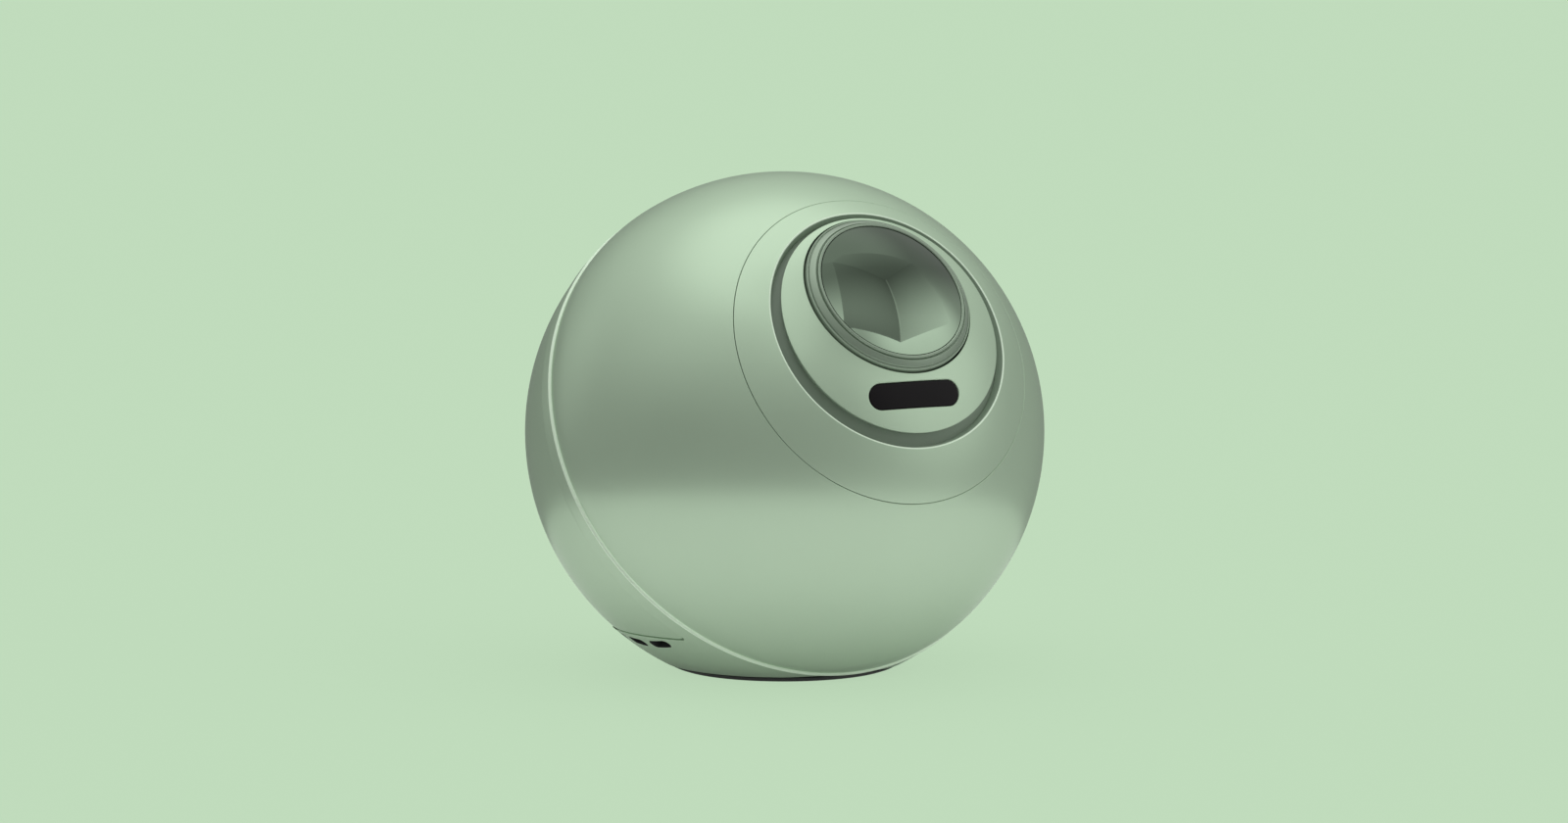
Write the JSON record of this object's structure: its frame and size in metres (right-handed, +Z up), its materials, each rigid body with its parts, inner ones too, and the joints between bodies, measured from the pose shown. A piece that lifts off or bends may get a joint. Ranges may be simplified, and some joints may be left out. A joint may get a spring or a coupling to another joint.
{
  "type": "smart speaker",
  "caption": "Ball-shaped smart speaker with an upward-tilted projection lens, a sensor window, side ports and a flat foot",
  "frame": {"origin": "middle of the foot, on the surface that the speaker stands on", "axes": "+Z up; -Y to the front, where the lens and the sensor window are; +X to the left side seen from the front, so the ports are on the -X side"},
  "size_m": [0.15, 0.1496, 0.143],
  "materials": {
    "shell": "satin paint over moulded plastic",
    "bezel": "satin paint over a machined ring",
    "diffuser": "translucent moulded light guide, satin",
    "lens_glass": "coated optical glass",
    "window": "dark infrared-clear acrylic, polished",
    "button": "satin",
    "grille": "perforated, satin",
    "black_plastic": "fine moulded texture",
    "die_cast": "black anodised casting",
    "rubber": "matt",
    "paper_cone": "pressed pulp",
    "spider_cloth": "corrugated doped cloth",
    "copper": "enamelled copper",
    "steel": "zinc plated sheet",
    "brass": "turned",
    "aluminium": "extruded",
    "magnet": "black zinc",
    "screw": "blackened steel",
    "board": "glass-fibre board with solder mask",
    "battery": "shrink sleeve"
  },
  "bodies": {
    "housing": {"front_shell": "shell", "trim_ring": "shell", "face_plate": "shell", "rear_shell": "shell", "rear_cover": "shell", "lens_bezel": "bezel", "light_ring": "diffuser", "condenser_lens": "lens_glass", "engine_prism": "lens_glass", "sensor_window": "window", "speaker_grille": "grille", "lens_housing": "black_plastic", "engine_housing": "die_cast", "engine_cover": "die_cast", "fan_frame": "black_plastic", "battery_cradle": "black_plastic", "speaker_chamber": "black_plastic", "speaker_basket": "black_plastic", "base_plate": "black_plastic", "foot_ring": "rubber", "speaker_surround": "rubber", "speaker_gasket": "rubber", "speaker_spider": "spider_cloth", "wifi_antenna": "copper", "focus_motor": "steel", "board_standoffs": "brass", "heat_sink": "aluminium", "bracket_left": "steel", "bracket_right": "steel", "chassis_plate": "steel", "board_shield": "steel", "usb_c_ports": "steel", "speaker_magnet": "magnet", "engine_screws": "screw", "board_screws": "screw", "shell_screws": "screw", "speaker_screws": "screw", "base_screws": "screw", "light_board": "board", "sensor_board": "board", "imager_board": "board", "led_board": "board", "main_board": "board", "button_board": "board", "port_board": "board", "battery_cells": "battery"},
    "focus_ring": {"focus_ring": "steel"},
    "motor_pinion": {"motor_pinion": "brass"},
    "focus_group": {"focus_barrel": "black_plastic", "front_lens": "lens_glass", "inner_lens": "lens_glass"},
    "fan_rotor": {"fan_rotor": "black_plastic"},
    "speaker_cone": {"speaker_cone": "paper_cone", "voice_coil": "copper", "dust_cap": "paper_cone"},
    "power_button": {"power_button": "button"},
    "volume_up_button": {"volume_up_button": "button"},
    "volume_down_button": {"volume_down_button": "button"}
  },
  "joints": [
    {"name": "focus_turn", "type": "hinge", "parent": "housing", "child": "focus_ring", "pos_m": [0, -0.03546, 0.0957], "axis": [0, -0.788, 0.6157], "range_deg": [-40, 40]},
    {"name": "pinion_turn", "type": "hinge", "parent": "housing", "child": "motor_pinion", "pos_m": [0, -0.05599, 0.06943], "axis": [0, -0.788, 0.6157], "range_deg": [-240, 240]},
    {"name": "focus_slide", "type": "slide", "parent": "housing", "child": "focus_group", "axis": [0, -0.788, 0.6157], "range_m": [-0.001, 0.001]},
    {"name": "fan_spin", "type": "hinge", "parent": "housing", "child": "fan_rotor", "pos_m": [0, 0.02049, 0.05199], "axis": [0, -0.788, 0.6157], "continuous": true},
    {"name": "cone_travel", "type": "slide", "parent": "housing", "child": "speaker_cone", "axis": [0, 1, 0], "range_m": [-0.0015, 0.0015], "stiffness_N_per_m": 1200, "deforming": ["speaker_surround", "speaker_spider"]},
    {"name": "power_button_press", "type": "slide", "parent": "housing", "child": "power_button", "axis": [0, -0.788, -0.6157], "range_m": [0, 0.0006], "stiffness_N_per_m": 900},
    {"name": "volume_up_button_press", "type": "slide", "parent": "housing", "child": "volume_up_button", "axis": [0, -0.788, -0.6157], "range_m": [0, 0.0006], "stiffness_N_per_m": 900},
    {"name": "volume_down_button_press", "type": "slide", "parent": "housing", "child": "volume_down_button", "axis": [0, -0.788, -0.6157], "range_m": [0, 0.0006], "stiffness_N_per_m": 900}
  ],
  "couplings": [
    {"joint": "pinion_turn", "follows": "focus_turn", "ratio": -5.1667},
    {"joint": "focus_slide", "follows": "focus_turn", "m_per_rad": 0.0014324}
  ]
}
